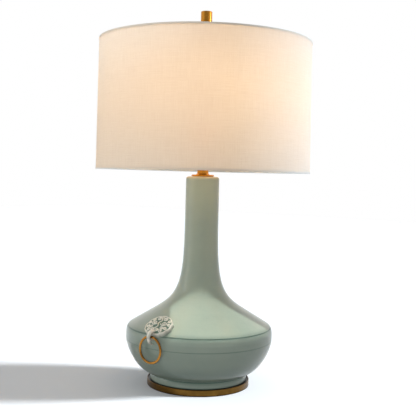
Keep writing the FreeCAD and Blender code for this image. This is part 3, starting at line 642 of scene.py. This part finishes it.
# ------------------------------------------------------------------ studio
def add_camera():
    """The camera at the photograph's viewing angle."""
    data = bpy.data.cameras.new("camera")
    data.sensor_width = SENSOR
    data.lens = FOCAL_PIXELS / PHOTO_PIXELS * SENSOR
    camera = place_object("camera", data)
    bpy.context.scene.camera = camera
    camera.location = facing(0) * CAMERA_DISTANCE + Vector((0, 0, CAMERA_HEIGHT))
    level = Matrix.Rotation(CAMERA_AZIMUTH, 4, "Z") @ Matrix.Rotation(math.radians(90), 4, "X")
    aim = Matrix.Rotation(CAMERA_PAN, 4, "Y") @ Matrix.Rotation(CAMERA_PITCH, 4, "X")
    camera.rotation_euler = (level @ aim @ Matrix.Rotation(CAMERA_ROLL, 4, "Z")).to_euler()


def facing(azimuth):
    """The level direction at an azimuth counted from the camera, positive to its right."""
    turn = CAMERA_AZIMUTH + math.radians(azimuth)
    return Vector((math.sin(turn), -math.cos(turn), 0))


def new_lamp(name, kind, power, colour):
    """A lamp that lights only the things put into its own collection."""
    data = bpy.data.lights.new(name, kind)
    data.energy = power
    data.color = colour
    lamp = place_object(name, data)
    lamp.light_linking.receiver_collection = bpy.data.collections.new("lit_by_" + name)
    return lamp


def aim(lamp, azimuth, elevation, distance):
    """Aims a lamp at the object, its azimuth counted from the camera, positive to its right."""
    rise = math.radians(elevation)
    back = facing(azimuth) * math.cos(rise) + Vector((0, 0, math.sin(rise)))
    lamp.location = AIM + back * distance
    lamp.rotation_euler = back.to_track_quat("Z", "Y").to_euler()
    return lamp


def soft_box(name, azimuth, elevation, distance, power, size, colour=(1, 1, 1)):
    """A rectangular lamp aimed at the object."""
    lamp = new_lamp(name, "AREA", power, colour)
    lamp.data.shape = "RECTANGLE"
    lamp.data.size, lamp.data.size_y = size
    return aim(lamp, azimuth, elevation, distance)


def white_world():
    """White to the camera and through glass; in reflections white walls, dimmer overhead and in front."""
    world = Nodes(bpy.data.worlds.new("studio"))
    bpy.context.scene.world = world.data
    path = world.add("LightPath").outputs
    towards = world.add("TexCoord").outputs["Generated"]
    ahead = world.vector("DOT_PRODUCT", towards, facing(0)).outputs["Value"]
    overhead = world.step(world.axis(towards, "Z"), 0.35, 0.9, 1.0, DIM)
    in_front = world.step(ahead, 0.35, 0.95, 1.0, DIM)
    seen = world.maths("MAXIMUM", path["Is Camera Ray"], path["Is Transmission Ray"])
    glossy = world.maths("MULTIPLY", path["Is Glossy Ray"], world.maths("MULTIPLY", overhead, in_front))
    plain = world.maths("MULTIPLY", world.maths("SUBTRACT", 1.0, path["Is Glossy Ray"]), AMBIENT)
    world.set(world.tree.nodes["Background"], Color=(1, 1, 1, 1),
              Strength=world.maths("MAXIMUM", seen, world.maths("ADD", glossy, plain)))


def pale_floor():
    """A white floor to the camera and in reflections, and a greyer one for the light that it throws back."""
    mesh = bpy.data.meshes.new("floor")
    mesh.from_pydata([(x * FLOOR_REACH, y * FLOOR_REACH, 0) for x, y in ((-1, -1), (1, -1), (1, 1), (-1, 1))],
                     [], [(0, 1, 2, 3)])
    floor = place_object("floor", mesh)
    mat = Material("floor")
    path = mat.add("LightPath").outputs
    seen = mat.maths("MAXIMUM", path["Is Camera Ray"],
                     mat.maths("MAXIMUM", path["Is Glossy Ray"], path["Is Transmission Ray"]))
    mat.set(mat.surface, Base_Color=mat.mix(seen, (0.20, 0.20, 0.20), (0.78, 0.83, 0.88)), Roughness=0.9,
            Emission_Color=(1, 1, 1, 1), Emission_Strength=mat.maths("MULTIPLY", seen, 0.12))
    mat.surface.inputs["Specular IOR Level"].default_value = 0.0
    mesh.materials.append(mat.data)
    return floor


def beam(power):
    """A beam straight down out of the shade, that lights the front of the shoulder."""
    lamp = new_lamp("top", "AREA", power, (0.97, 1.0, 0.96))
    lamp.data.shape = "RECTANGLE"
    lamp.data.size, lamp.data.size_y = BEAM_WIDE, BEAM_DEEP
    lamp.data.spread = BEAM_SPREAD
    lamp.location = (facing(0) * (BEAM_START + BEAM_DEEP / 2) + facing(90) * (BEAM_WIDE / 2 - BEAM_LEFT)
                     + Vector((0, 0, BEAM_LEVEL)))
    lamp.rotation_euler = (0, 0, CAMERA_AZIMUTH)
    lamp.visible_camera = False
    lamp.visible_glossy = False
    return lamp


def bulb_light(name, power, place):
    """A warm point of light in the bulb, which the camera and reflections don't see."""
    lamp = new_lamp(name, "POINT", power, BULB_COLOUR)
    lamp.data.shadow_soft_size = BULB_SOFT
    lamp.location = place
    lamp.visible_camera = False
    lamp.visible_glossy = False
    lamp.visible_transmission = False
    return lamp


def add_studio(cloth, solids):
    """Soft boxes on both sides, a beam from above, the bulb's own light, and a low sun for the shadow."""
    white_world()
    floor = pale_floor()
    metals = [thing for node, thing in NODES.items() if "brass" in SLOTS[node]]
    others = [thing for thing in solids if thing not in metals]
    shade = [cloth, NODES["shade_bottom_trim"], NODES["shade_top_trim"]]
    masks = [thing for thing in solids if thing.name.startswith("carved")]
    key = soft_box("key", -15, 6, 2.4, 10.0, (0.8, 0.5), (0.97, 1.0, 0.96))
    left = soft_box("left", -85, 8, 1.8, 6.0, (0.7, 1.5), (1.0, 0.98, 0.92))
    side = soft_box("side", -62, 12, 1.8, 7.0, (0.7, 1.0), (0.93, 0.97, 1.0))
    right = soft_box("right", 98, 18, 2.0, 38.0, (0.35, 0.8), (0.63, 0.81, 1.0))
    over = soft_box("over", 100, 45, 2.2, 2.0, (0.5, 0.5), (0.90, 1.0, 1.0))
    gleam = soft_box("gleam", 87, 20, 2.0, 5.0, (0.22, 0.6))
    key.visible_glossy = over.visible_glossy = False
    gleam.visible_diffuse = False
    sun = aim(new_lamp("sun", "SUN", 11.5, (1, 1, 1)), 93, 13, 3.0)
    sun.data.angle = SUN_ANGLE
    bulb = bulb_light("bulb", 1.66, BULB_CENTRE + facing(12) * BULB_FORWARD)
    spill = bulb_light("spill", 1.7, BULB_CENTRE)
    for lamp, things in ((key, others), (left, others), (over, others), (side, shade + masks), (right, shade),
                         (gleam, metals), (sun, [floor]), (beam(0.096), others), (bulb, [cloth]),
                         (spill, solids)):
        for thing in things:
            lamp.light_linking.receiver_collection.objects.link(thing)


dress_frame()
add_camera()
cloth = shade_cloth()
add_studio(cloth, [*NODES.values(), *carved_masks()])

scene = bpy.context.scene
scene.view_settings.view_transform = "Standard"
